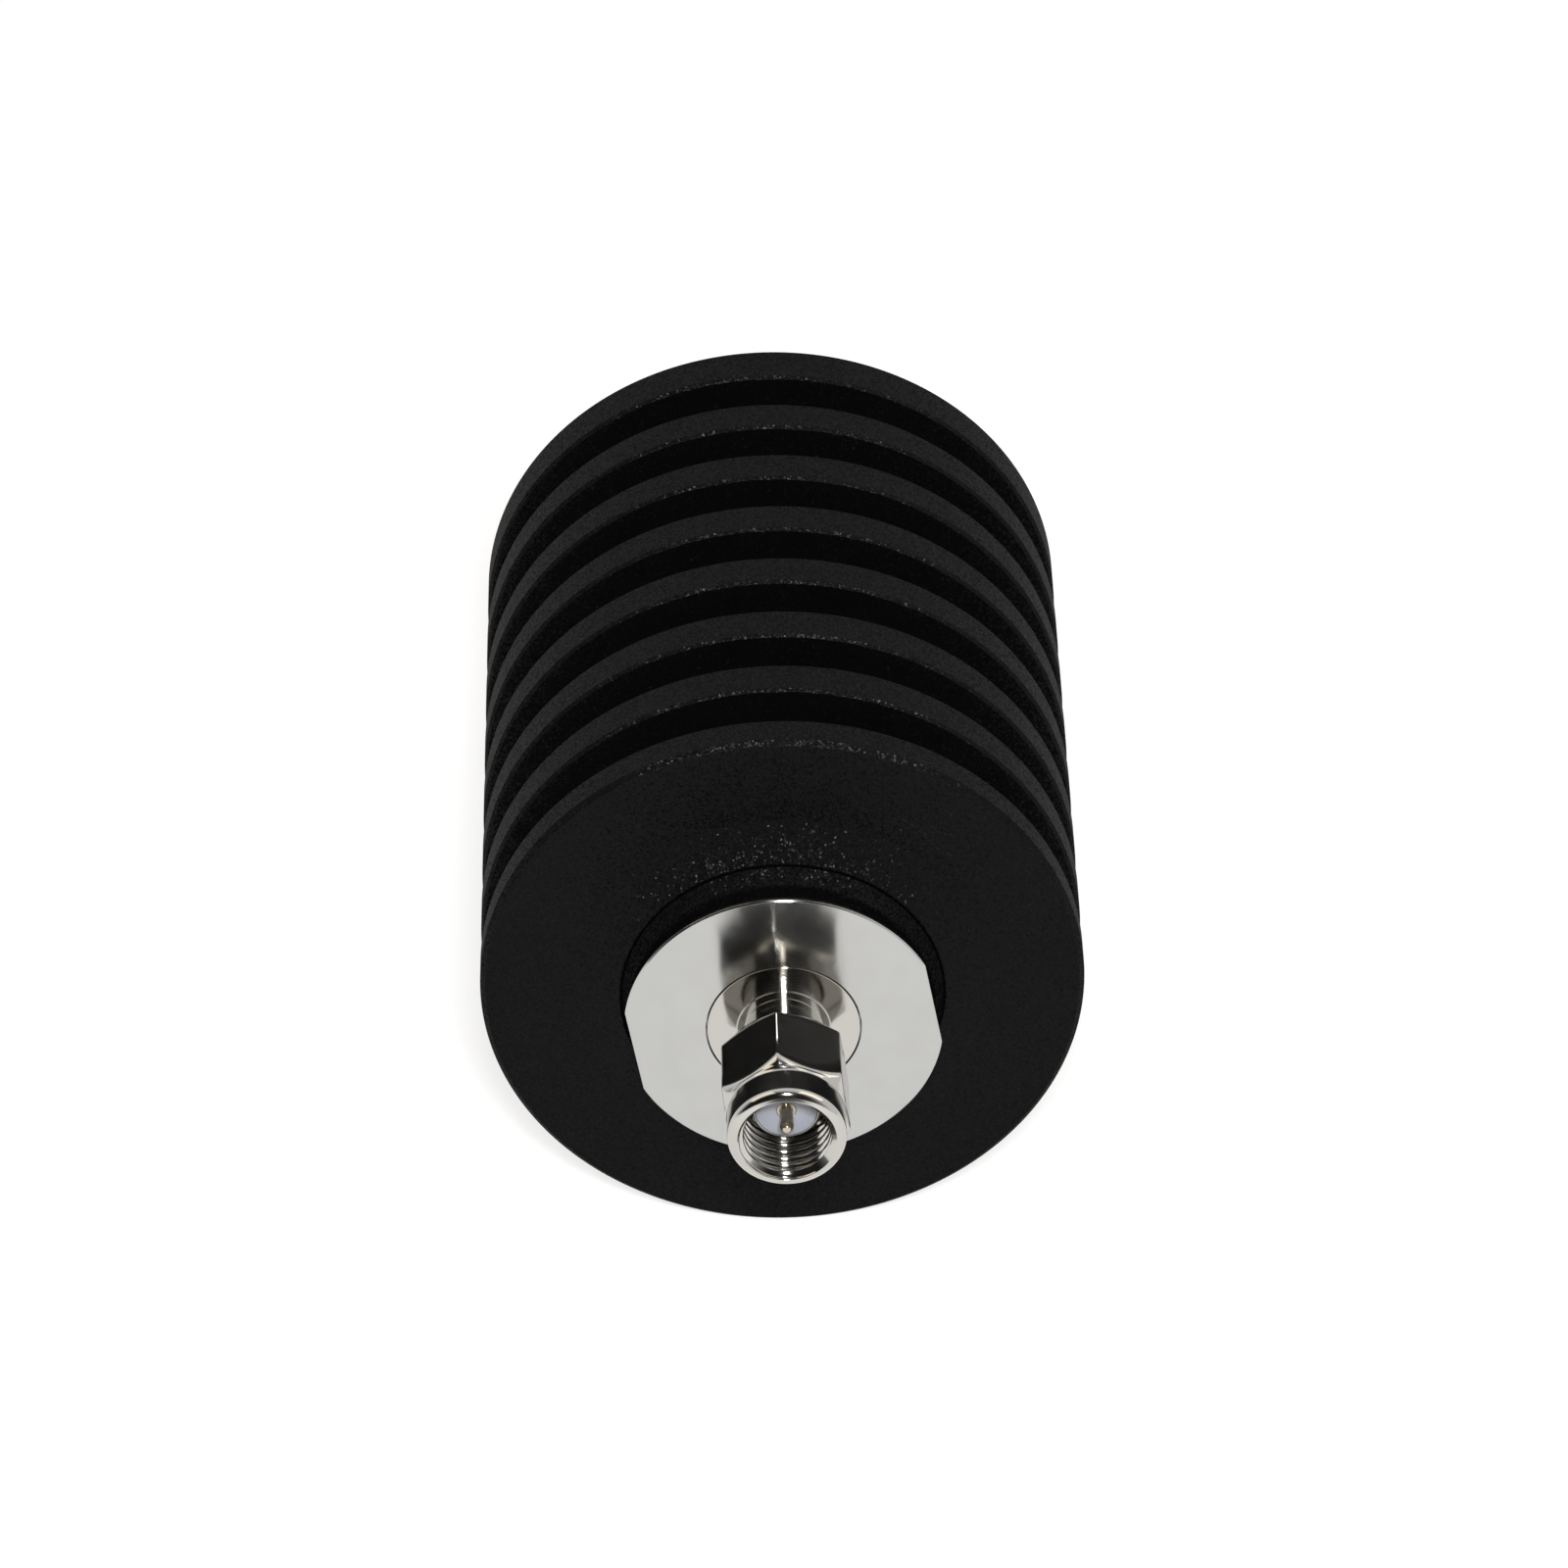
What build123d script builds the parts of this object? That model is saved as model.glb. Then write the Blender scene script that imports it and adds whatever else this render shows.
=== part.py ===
"""Coaxial fixed attenuator with a finned heat sink, a threaded plug in front and a threaded jack behind.

The axis of the object lies along Y. The origin is the plug's reference plane, the end face of its outer
contact, on the axis. The plug faces -Y, the jack faces +Y and +Z is up. All lengths are in millimetres.
"""
import os
from math import cos, pi, sqrt

from build123d import *

# Fits
seat_clearance = 0.02  # radial gap of a pressed, screwed or bonded seat
running_clearance = 0.08  # gap all round a piece that turns
flange_clearance = 0.1  # radial gap, seen as a dark ring around each connector's flange
channel_clearance = 0.1  # gap at each side of the chip

# Heat sink, one turned piece
sink_radius = 20.0
hub_wall = 2.76  # from the bore to the floor of the grooves between the fins
front_plate_thickness = 2.5
rear_plate_thickness = 3.5
fin_count = 6
fin_thickness = 2.88
fin_gap = 3.33
plate_chamfer = 0.35
fin_chamfer = 0.2
groove_root_chamfer = 0.3  # left by the corners of the grooving tool
boss_width = 3.16  # radial, from the bore to the foot of the boss
boss_height = 0.95
boss_land = 0.1  # width of the boss's end face around the tube
boss_hollow = 0.2  # how far the boss's concave side lies below a straight cone, along the axis
seam_chamfer = 0.12

# Body tube, 21.2 across
tube_wall = 1.42
collar_step = 0.65  # the collar is this much smaller in radius than the tube inside the heat sink
collar_cone_length = 1.2
collar_length = 3.15

# Nickel-plated end caps
cap_overhang = 0.53  # the rim is this much larger in radius than the collar behind it
cap_flat_depth = 0.5  # of the two wrench flats below the rim
cap_flat_angle = 10.5  # turn of the wrench flats about the axis, in degrees
cap_rim_thickness = 0.35
cap_chamfer = 0.1
cap_spigot_length = 6.0

# Connector shells
dielectric_radius = 2.03
outer_contact_wall = 0.25
outer_contact_chamfer = 0.08
bead_step = 0.57  # the inner length of each insulator is this much larger in radius
stub_wall = 0.85
flange_width = 1.57  # radial, around the stub
flange_thickness = 1.4
bead_setback = 0.4  # how far behind the flange's face the insulator widens

# Plug
shoulder_height = 0.27  # of the neck above the outer contact
neck_length = 3.5  # bare neck between the flange and the coupling nut
neck_step_width = 0.55
neck_step_height = 0.12
ferrule_length = 2.6  # outer contact in front of the neck's shoulder
ring_setback = 0.4  # from the shoulder back to the groove of the retaining ring
ring_groove_depth = 0.25
ring_thickness = 0.5
ring_opening = 1.0
gasket_thickness = 0.7
gasket_clearance = 0.2  # radial gap between the gasket and the nut

# Coupling nut
nut_wall = 0.715  # from the nut's cavity to its flats, which are 7.94 apart
nut_back_wall = 1.62  # behind the retaining ring
nut_reach = 3.1  # length ahead of the reference plane
nut_corner_angle = 7.6  # turn of the uppermost corner towards -X, in degrees
nut_back_cut = 0.55  # length of the cone that breaks the corners at the back
nose_length = 2.6
nose_step = 0.1  # the nose is this much smaller in radius than the flats
nose_round = 0.5
mouth_chamfer = 0.48
thread_runout = 0.3  # from the end of the nut's thread to the gasket
back_hole_chamfer = 0.15

# Fine thread of the plug and the jack, drawn plain: the nut at its minor and the jack at its major radius
thread_space = 0.54  # from the outer contact to the crests of the nut's thread
thread_depth = 0.355
thread_relief = 0.08  # the nut's cavity is this much wider than its thread

# Centre contacts
pin_radius = 0.635
pin_tip_radius = 0.45
pin_reach = 2.0  # length ahead of the reference plane
pin_taper_length = 0.4
pin_taper_depth = 0.18
contact_overrun = 4.2  # length of each contact past the inner end of its cap
contact_flat_height = 0.35  # distance from the axis to the flat under each contact's inner end
contact_flat_length = 1.6
socket_radius = 0.47
socket_depth = 2.6
slit_width = 0.12
slit_length = 2.2

# Jack
barrel_length = 9.0
barrel_chamfer = 0.3
relief_step = 0.17  # the groove behind the thread is this much smaller than the thread's root
relief_length = 1.2
recess_clearance = 0.05  # radial gap for the mating plug's outer contact
recess_depth = 1.9
recess_chamfer = 0.15

# Split core that carries the chip
channel_height = 3.2
channel_wall = 0.32  # between the channel and the seats of the screw heads
chip_width = 9.0
chip_setback = 1.2  # from each contact's inner end to the chip
chip_thickness = 1.0
lid_margin = 1.5  # bare chip at each side of its lid
lid_setback = 5.0  # bare chip at each end of its lid
lid_thickness = 0.6
tab_width = 1.2
tab_thickness = 0.15
tab_landing = 1.6  # length of each tab on the chip
screw_radius = 0.8
screw_head_radius = 1.5
screw_head_height = 1.6
screw_socket_width = 1.5  # across the flats of the hexagonal drive
screw_socket_depth = 0.8
screw_grip = 2.4  # thickness of the cover under each screw head
screw_depth = 4.0  # length of each screw in the base
screw_hole_spare = 0.4  # depth of each screw hole past the screw
screw_head_cover = 0.236  # from the outer corner of each screw head to the core's surface
screw_setback = 8.4  # from each end of the core to its screws

# Sizes across the core, from the chip outwards
channel_width = chip_width + 2 * channel_clearance
head_seat_radius = screw_head_radius + running_clearance
screw_offset = channel_width / 2 + channel_wall + head_seat_radius
head_top = screw_grip + screw_head_height
core_radius = sqrt((screw_offset + screw_head_radius) ** 2 + head_top**2) + screw_head_cover

# Radii of the tube and what it joins
tube_bore_radius = core_radius + seat_clearance
tube_radius = tube_bore_radius + tube_wall
bore_radius = tube_radius + seat_clearance
hub_radius = bore_radius + hub_wall
boss_base_radius = bore_radius + boss_width
collar_radius = tube_radius - collar_step
cap_radius = collar_radius + cap_overhang

# Radii of the connectors
outer_contact_radius = dielectric_radius + outer_contact_wall
bead_radius = dielectric_radius + bead_step
stub_radius = bead_radius + stub_wall
flange_radius = stub_radius + flange_width
neck_radius = outer_contact_radius + shoulder_height
neck_step_radius = neck_radius + neck_step_width
thread_minor_radius = outer_contact_radius + thread_space
thread_major_radius = thread_minor_radius + thread_depth
nut_cavity_radius = thread_major_radius + thread_relief
nut_flat_radius = nut_cavity_radius + nut_wall
nose_radius = nut_flat_radius - nose_step
relief_radius = thread_minor_radius - relief_step
recess_radius = outer_contact_radius + recess_clearance

# Places along a connector, measured from the face of its flange, with outwards negative
nut_back = -neck_length
cavity_rear = nut_back - nut_back_wall
ring_rear = cavity_rear - running_clearance
ring_front = ring_rear - ring_thickness
shoulder = ring_front - ring_setback
plug_plane = shoulder - ferrule_length
nut_front = plug_plane - nut_reach
gasket_front = shoulder - gasket_thickness
jack_plane = recess_depth - barrel_length
stub_end = cap_rim_thickness + cap_spigot_length
contact_end = stub_end + contact_overrun

# Places along the whole object
front_face = -plug_plane
tube_front = front_face + cap_rim_thickness
boss_front = tube_front + collar_length
sink_front = boss_front + boss_height
fin_pitch = fin_thickness + fin_gap
fin_stack = fin_count * fin_pitch + fin_gap
sink_rear = sink_front + front_plate_thickness + fin_stack + rear_plate_thickness
boss_rear = sink_rear + boss_height
tube_rear = boss_rear + collar_length
rear_face = tube_rear + cap_rim_thickness
middle = (front_face + rear_face) / 2

# Places inside the core
core_length = rear_face - front_face - 2 * stub_end
screw_spacing = core_length - 2 * screw_setback
contact_place = core_length / 2 - contact_overrun
chip_length = 2 * (contact_place - chip_setback)
chip_top = -contact_flat_height - tab_thickness
chip_bottom = chip_top - chip_thickness


def at_front(piece):
    """Places a piece that is drawn from the flange's face, with -Y outwards, at the plug's end."""
    return Pos(0, front_face, 0) * piece


def at_rear(piece):
    """Places such a piece at the jack's end, turned end for end."""
    return Pos(0, rear_face, 0) * Rot(0, 0, 180) * piece


def turned(*outline):
    """Turns a closed outline of (radius, place) points about the axis."""
    return revolve(make_face(Polyline(*outline, close=True)), Axis.Y)


def bar(start, *steps):
    """A turned bar from the place `start`, as (radius, end) steps laid one behind the other."""
    outline = [(0, start)]
    for radius, end in steps:
        outline += [(radius, start), (radius, end)]
        start = end
    return turned(*outline, (0, start))


def sleeve(outer, inner, start, end):
    """A plain tube between two places."""
    return bar(start, (outer, end)) - bar(start, (inner, end))


def rims(piece, radius):
    """The round edges of a turned piece that have this radius, from -Y to +Y."""
    rounds = piece.edges().filter_by(GeomType.CIRCLE)
    return rounds.filter_by(lambda edge: abs(edge.radius - radius) < 1e-4).sort_by(Axis.Y)


def slab(width, length, low, high, at_x=0, at_y=0):
    """A box about (at_x, at_y) between two heights."""
    return Pos(at_x, at_y, (low + high) / 2) * Box(width, length, high - low)


def upright(radius, low, high, at_x, at_y):
    """An upright cylinder between two heights."""
    return Pos(at_x, at_y, (low + high) / 2) * Cylinder(radius, high - low)


def boss(base, tip):
    """The low boss on a face of the heat sink, with a concave side, from `base` out to `tip`."""
    tip_radius = bore_radius + seam_chamfer + boss_land
    hollow = boss_hollow if base > tip else -boss_hollow
    half_way = ((boss_base_radius + tip_radius) / 2, (base + tip) / 2 + hollow)
    side = ThreePointArc((boss_base_radius, base), half_way, (tip_radius, tip))
    rest = Polyline((tip_radius, tip), (0, tip), (0, base), (boss_base_radius, base))
    return revolve(make_face([side, rest]), Axis.Y)


def make_heat_sink():
    """Two end plates and the disc fins between them, on a hub bored for the tube."""
    sink = bar(sink_front, (sink_radius, sink_rear))
    for number in range(fin_count + 1):
        start = sink_front + front_plate_thickness + number * fin_pitch
        groove = sleeve(sink_radius + 1, hub_radius, start, start + fin_gap)
        sink -= chamfer(rims(groove, hub_radius), groove_root_chamfer)
    sink = chamfer(rims(sink, sink_radius)[1:-1], fin_chamfer)
    edges = rims(sink, sink_radius)
    sink = chamfer([edges[0], edges[-1]], plate_chamfer)
    sink += boss(sink_front, boss_front) + boss(sink_rear, boss_rear)
    sink -= bar(boss_front, (bore_radius, boss_rear))
    return chamfer(rims(sink, bore_radius), seam_chamfer)


def make_body_tube():
    """The tube through the heat sink, stepped down to a collar at each end by a shallow cone."""
    return turned(
        (tube_bore_radius, tube_front),
        (collar_radius, tube_front),
        (collar_radius, boss_front - collar_cone_length),
        (tube_radius, boss_front),
        (tube_radius, boss_rear),
        (collar_radius, boss_rear + collar_cone_length),
        (collar_radius, tube_rear),
        (tube_bore_radius, tube_rear),
    )


def make_end_cap():
    """A plated cap: a thin rim with two wrench flats, on a spigot that screws into the tube."""
    cap = bar(0, (cap_radius, cap_rim_thickness), (core_radius, stub_end))
    across = Box(2 * (cap_radius - cap_flat_depth), 4 * stub_end, 4 * cap_radius)
    cap &= Rot(0, -cap_flat_angle, 0) * across
    cap = chamfer(cap.faces().sort_by(Axis.Y)[0].edges(), cap_chamfer)
    seat = bar(0, (flange_radius + flange_clearance, flange_thickness))
    return cap - seat - bar(0, (stub_radius + seat_clearance, stub_end))


def make_plug_body():
    """The plug's shell in one piece: outer contact, neck with the ring's groove, flange and screwed stub."""
    shell = bar(
        plug_plane,
        (outer_contact_radius, shoulder),
        (neck_radius, ring_front - seat_clearance),
        (neck_radius - ring_groove_depth, ring_rear + seat_clearance),
        (neck_radius, -neck_step_height),
        (neck_step_radius, 0),
        (flange_radius, flange_thickness),
        (stub_radius, stub_end),
    )
    shell = chamfer(rims(shell, outer_contact_radius)[0], outer_contact_chamfer)
    return shell - bar(plug_plane, (dielectric_radius, bead_setback), (bead_radius, stub_end))


def make_jack_body():
    """The jack's shell in one piece: threaded barrel, thread relief, flange and screwed stub."""
    shell = bar(
        -barrel_length,
        (thread_major_radius, -relief_length),
        (relief_radius, 0),
        (flange_radius, flange_thickness),
        (stub_radius, stub_end),
    )
    shell = chamfer(rims(shell, thread_major_radius)[0], barrel_chamfer)
    shell -= bar(
        -barrel_length,
        (recess_radius, jack_plane),
        (dielectric_radius, bead_setback),
        (bead_radius, stub_end),
    )
    return chamfer(rims(shell, recess_radius)[0], recess_chamfer)


def make_insulator(plane):
    """A stepped dielectric bead from the reference plane to the inner end of the stub."""
    bead = bar(
        plane,
        (dielectric_radius - seat_clearance, bead_setback),
        (bead_radius - seat_clearance, stub_end),
    )
    return bead - bar(plane, (pin_radius + seat_clearance, stub_end))


def flatten(contact):
    """Cuts the flat that a tab is soldered to, under a contact's inner end."""
    at_y = contact_end - contact_flat_length / 2
    return contact - slab(4 * pin_radius, contact_flat_length, -2 * pin_radius, -contact_flat_height, 0, at_y)


def make_plug_pin():
    """The plug's centre pin: a tapered tip ahead of a thicker shank that passes through the bead."""
    tip = plug_plane - pin_reach
    pin = turned(
        (0, tip),
        (pin_tip_radius - pin_taper_depth, tip),
        (pin_tip_radius, tip + pin_taper_length),
        (pin_tip_radius, plug_plane),
        (pin_radius, plug_plane),
        (pin_radius, contact_end),
        (0, contact_end),
    )
    return flatten(pin)


def make_jack_contact():
    """The jack's centre contact: a socket split by two crossed slits, on a plain shank."""
    contact = bar(jack_plane, (pin_radius, contact_end))
    contact -= bar(jack_plane, (socket_radius, jack_plane + socket_depth))
    slit = Pos(0, jack_plane, 0) * Box(slit_width, 2 * slit_length, 4 * pin_radius)
    return flatten(contact - slit - Rot(0, 90, 0) * slit)


def make_coupling_nut():
    """A hexagon with a round nose, bored for the thread, the gasket, the ring and the neck."""
    hexagon = RegularPolygon(nut_flat_radius, 6, major_radius=False, rotation=90 + nut_corner_angle)
    corner_radius = nut_flat_radius / cos(pi / 6)
    cone_front = nut_front + nose_length
    prism = Pos(0, nut_back, 0) * extrude(Plane.XZ * hexagon, nut_back - cone_front)
    envelope = turned(
        (0, cone_front),
        (nose_radius, cone_front),
        (corner_radius, cone_front + corner_radius - nose_radius),
        (corner_radius, nut_back - nut_back_cut),
        (nut_flat_radius, nut_back),
        (0, nut_back),
    )
    nose = bar(nut_front, (nose_radius, cone_front))
    nut = (prism & envelope) + fillet(rims(nose, nose_radius)[0], nose_round)
    cavity_front = gasket_front - thread_runout
    nut -= bar(
        nut_front,
        (thread_minor_radius, cavity_front),
        (nut_cavity_radius, cavity_rear),
        (neck_radius + running_clearance, nut_back),
    )
    nut = chamfer(rims(nut, thread_minor_radius)[0], mouth_chamfer)
    return chamfer(rims(nut, neck_radius + running_clearance)[-1], back_hole_chamfer)


def make_retaining_ring():
    """The split ring in the neck's groove, which keeps the nut from sliding off forwards."""
    inner = neck_radius - ring_groove_depth + seat_clearance
    ring = sleeve(nut_cavity_radius - running_clearance, inner, ring_front, ring_rear)
    return ring - slab(ring_opening, 4 * ring_thickness, -2 * nut_cavity_radius, 0, 0, ring_front)


def make_gasket():
    """The soft ring on the outer contact, against the neck's shoulder."""
    outer = nut_cavity_radius - gasket_clearance
    return sleeve(outer, outer_contact_radius + seat_clearance, gasket_front, shoulder)


def screw_places():
    """The four (x, y) places of the core's screws."""
    return [
        (side * screw_offset, middle + end * screw_spacing / 2)
        for side in (-1, 1)
        for end in (-1, 1)
    ]


def half_core(low, high):
    """The part of the round core that lies between two heights."""
    start = front_face + stub_end
    return bar(start, (core_radius, start + core_length)) & slab(
        2 * core_radius, core_length, low, high, 0, middle
    )


def make_core_base():
    """Lower half of the core, with a channel that the chip lies in and four screw holes."""
    base = half_core(-core_radius, 0)
    base -= slab(channel_width, core_length, chip_bottom, 0, 0, middle)
    for at_x, at_y in screw_places():
        base -= upright(screw_radius + seat_clearance, -screw_depth - screw_hole_spare, 0, at_x, at_y)
    return base


def make_core_cover():
    """Upper half of the core, with the channel over the chip and four sunk screw seats."""
    cover = half_core(0, core_radius)
    cover -= slab(channel_width, core_length, 0, channel_height, 0, middle)
    for at_x, at_y in screw_places():
        cover -= upright(screw_radius + running_clearance, 0, screw_grip, at_x, at_y)
        cover -= upright(head_seat_radius, screw_grip, core_radius, at_x, at_y)
    return cover


def make_core_screws():
    """Four cap screws with a hexagonal drive, as separate solids."""
    drive = RegularPolygon(screw_socket_width / 2, 6, major_radius=False)
    socket = Pos(0, 0, head_top) * extrude(drive, -screw_socket_depth)
    screw = upright(screw_radius, -screw_depth, screw_grip, 0, 0)
    screw += upright(screw_head_radius, screw_grip, head_top, 0, 0) - socket
    return Compound(children=[Pos(at_x, at_y, 0) * screw for at_x, at_y in screw_places()])


def make_chip():
    """The ceramic plate that carries the resistor film, on the floor of the channel."""
    return slab(chip_width, chip_length, chip_bottom, chip_top, 0, middle)


def make_chip_lid():
    """The ceramic plate bonded over the film."""
    width = chip_width - 2 * lid_margin
    length = chip_length - 2 * lid_setback
    return slab(width, length, chip_top, chip_top + lid_thickness, 0, middle)


def make_tab(end):
    """The ribbon from a contact's flat to the chip, at the plug's end (-1) or the jack's end (1)."""
    outer = contact_place + contact_flat_length
    inner = chip_length / 2 - tab_landing
    at_y = middle + end * (outer + inner) / 2
    return slab(tab_width, outer - inner, chip_top, chip_top + tab_thickness, 0, at_y)


pieces = {
    "heat_sink": make_heat_sink(),
    "body_tube": make_body_tube(),
    "front_end_cap": at_front(make_end_cap()),
    "rear_end_cap": at_rear(make_end_cap()),
    "plug_body": at_front(make_plug_body()),
    "plug_insulator": at_front(make_insulator(plug_plane)),
    "plug_pin": at_front(make_plug_pin()),
    "coupling_nut": at_front(make_coupling_nut()),
    "nut_retaining_ring": at_front(make_retaining_ring()),
    "nut_gasket": at_front(make_gasket()),
    "jack_body": at_rear(make_jack_body()),
    "jack_insulator": at_rear(make_insulator(jack_plane)),
    "jack_contact": at_rear(make_jack_contact()),
    "core_base": make_core_base(),
    "core_cover": make_core_cover(),
    "core_screws": make_core_screws(),
    "attenuator_chip": make_chip(),
    "chip_lid": make_chip_lid(),
    "input_tab": make_tab(-1),
    "output_tab": make_tab(1),
}

os.makedirs("parts", exist_ok=True)
for name, piece in pieces.items():
    export_step(piece, f"parts/{name}.step")
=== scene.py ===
"""Looks of the coaxial attenuator: a finned black heat sink between a threaded plug and a threaded jack.

Sizes are in millimetres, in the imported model's frame: the axis of the object lies along Y, the end face of
the plug's outer contact is at Y = 0, the plug points to -Y and +Z is up. Meshes are put in in metres.
"""
import logging
from collections.abc import Callable
from dataclasses import dataclass
from enum import Enum
from math import cos, pi, radians, tan

import bpy
import numpy as np
from bpy.types import Material, Node, NodeSocket, NodeTree, Object, World
from mathutils import Euler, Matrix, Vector


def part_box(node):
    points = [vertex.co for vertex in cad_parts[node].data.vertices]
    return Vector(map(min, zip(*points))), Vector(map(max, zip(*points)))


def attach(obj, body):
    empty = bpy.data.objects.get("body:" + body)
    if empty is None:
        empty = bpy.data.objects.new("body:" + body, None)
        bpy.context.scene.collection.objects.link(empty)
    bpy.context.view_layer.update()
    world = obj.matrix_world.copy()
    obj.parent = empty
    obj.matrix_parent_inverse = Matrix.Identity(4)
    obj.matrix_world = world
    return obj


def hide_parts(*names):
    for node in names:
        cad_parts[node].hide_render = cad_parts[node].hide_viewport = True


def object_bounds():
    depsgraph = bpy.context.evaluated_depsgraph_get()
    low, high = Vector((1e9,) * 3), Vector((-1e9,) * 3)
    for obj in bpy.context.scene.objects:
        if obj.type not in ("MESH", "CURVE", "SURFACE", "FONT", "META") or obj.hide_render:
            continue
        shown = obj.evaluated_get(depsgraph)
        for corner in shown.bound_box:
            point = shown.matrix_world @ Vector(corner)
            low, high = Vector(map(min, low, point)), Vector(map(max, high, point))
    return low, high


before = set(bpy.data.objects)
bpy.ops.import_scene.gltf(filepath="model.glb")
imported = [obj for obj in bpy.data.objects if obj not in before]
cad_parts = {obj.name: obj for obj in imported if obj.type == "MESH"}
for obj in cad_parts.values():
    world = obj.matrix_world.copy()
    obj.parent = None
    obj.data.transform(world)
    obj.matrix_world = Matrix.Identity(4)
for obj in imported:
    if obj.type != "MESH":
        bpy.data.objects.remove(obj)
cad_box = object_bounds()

MM = 0.001  # metres in a millimetre
EDGE_STEPS = 5  # points on each rounded edge of an outline
EDGE_ROOM = 1.3  # length of edge that a rounding needs, as a share of its reach along it
FLAT_START = 1.25  # place of a rounding's extra point, as a share of the same reach
KEPT_SHARE = 0.02  # of what stands over a cut
CLOSE = 0.01  # margin in millimetres for telling an outline's edges apart
TINY = 1e-6  # less than this counts as nought

log = logging.getLogger("attenuator")

Array = np.ndarray
Corner = tuple[float, ...]  # radius, place and, where it isn't the outline's own, rounding
Shape = Callable[[Array, Array, Array], Array]  # radius from radius, place and angle
Choice = Callable[[Array, Array], Array]  # which edges, from the lesser and the greater of their ends
Source = Node | NodeSocket  # where a link starts: a node's first output, or the output itself


class Body(Enum):
    """The two bodies that pieces ride on."""

    HOUSING = "attenuator"
    NUT = "coupling_nut"


class Slot(Enum):
    """Names of four material slots. Nothing in this script uses them."""

    BLACK = "black_anodised"
    NICKEL = "nickel_plated_brass"
    PTFE = "ptfe"
    CONTACT = "contact_metal"


class End(Enum):
    """An end of the object, as the direction along Y that leads into it from outside."""

    PLUG = 1
    JACK = -1


def linear(hex_colour: str) -> tuple[float, float, float, float]:
    """Turns an sRGB hex value into the linear colour that a shader takes.

    Args:
        hex_colour: a hash and six hexadecimal digits.

    Returns:
        Linear red, green and blue, and an alpha of 1.
    """
    srgb = np.array([int(hex_colour[start:start + 2], 16) for start in (1, 3, 5)]) / 255
    red, green, blue = np.where(srgb <= 0.04045, srgb / 12.92, ((srgb + 0.055) / 1.055) ** 2.4).tolist()
    return red, green, blue, 1.0


def add_node(tree: NodeTree, kind: str, sockets: dict | None = None, **settings: object) -> Node:
    """Adds a node with its settings, and fills or links its inputs.

    Args:
        tree: the tree that gets the node.
        kind: the node's type, such as ShaderNodeBump.
        sockets: for each input's name or number, a value or the source to link from.
        settings: the node's own properties.

    Returns:
        The new node.
    """
    node = tree.nodes.new(kind)
    for name, value in settings.items():
        setattr(node, name, value)
    for name, value in (sockets or {}).items():
        if isinstance(value, Source):
            tree.links.new(value.outputs[0] if isinstance(value, Node) else value, node.inputs[name])
        else:
            node.inputs[name].default_value = value
    return node


def worked_out(tree: NodeTree, kind: str, operation: str, *values: object) -> Node:
    """Works a number or a vector out from others.

    Args:
        tree: the tree that gets the node.
        kind: ShaderNodeMath or ShaderNodeVectorMath.
        operation: what the node does.
        values: its inputs in order, each a value or the source to link from.

    Returns:
        The new node.
    """
    return add_node(tree, kind, dict(enumerate(values)), operation=operation)


def any_ray(tree: NodeTree, first: str, *others: str) -> Source:
    """One for rays of the named kinds, such as Is Camera Ray, and nought for all others."""
    path = add_node(tree, "ShaderNodeLightPath").outputs
    found = path[first]
    for other in others:
        found = worked_out(tree, "ShaderNodeMath", "MAXIMUM", found, path[other])
    return found


def empty_tree(owner: Material | World) -> NodeTree:
    """Gives a material or a world a node tree with nothing in it."""
    owner.use_nodes = True
    owner.node_tree.nodes.clear()
    return owner.node_tree


def place_in_mm(tree: NodeTree) -> Node:
    """The surface point's place on the object, in millimetres."""
    place = add_node(tree, "ShaderNodeTexCoord").outputs["Object"]
    return add_node(tree, "ShaderNodeVectorMath", {0: place, "Scale": 1 / MM}, operation="SCALE")


def turning_place(tree: NodeTree) -> Node:
    """The point's distance from the axis and its place along it, in millimetres.

    A pattern on these two numbers alone is the same all round the axis, as the marks of a lathe tool are:
    rings on a face, and hoops on a barrel.
    """
    place = add_node(tree, "ShaderNodeSeparateXYZ", {0: place_in_mm(tree)}).outputs
    across = add_node(tree, "ShaderNodeCombineXYZ", {"X": place["X"], "Z": place["Z"]})
    radius = worked_out(tree, "ShaderNodeVectorMath", "LENGTH", across).outputs["Value"]
    return add_node(tree, "ShaderNodeCombineXYZ", {"X": radius, "Y": place["Y"]})


def tool_rings(tree: NodeTree, ring: float, depth: float) -> tuple[Node, Node]:
    """The rings that a lathe tool leaves.

    Args:
        tree: the material's tree.
        ring: how far apart they are, in millimetres.
        depth: how far they stand out, in millimetres.

    Returns:
        The rings' pattern, from 0 to 1, and the normals of a surface that has them.
    """
    inputs = {"Vector": turning_place(tree), "Scale": 1 / ring}
    rings = add_node(tree, "ShaderNodeTexNoise", inputs, noise_dimensions="2D")
    return rings, add_node(tree, "ShaderNodeBump", {"Height": rings, "Distance": depth * MM})


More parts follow.
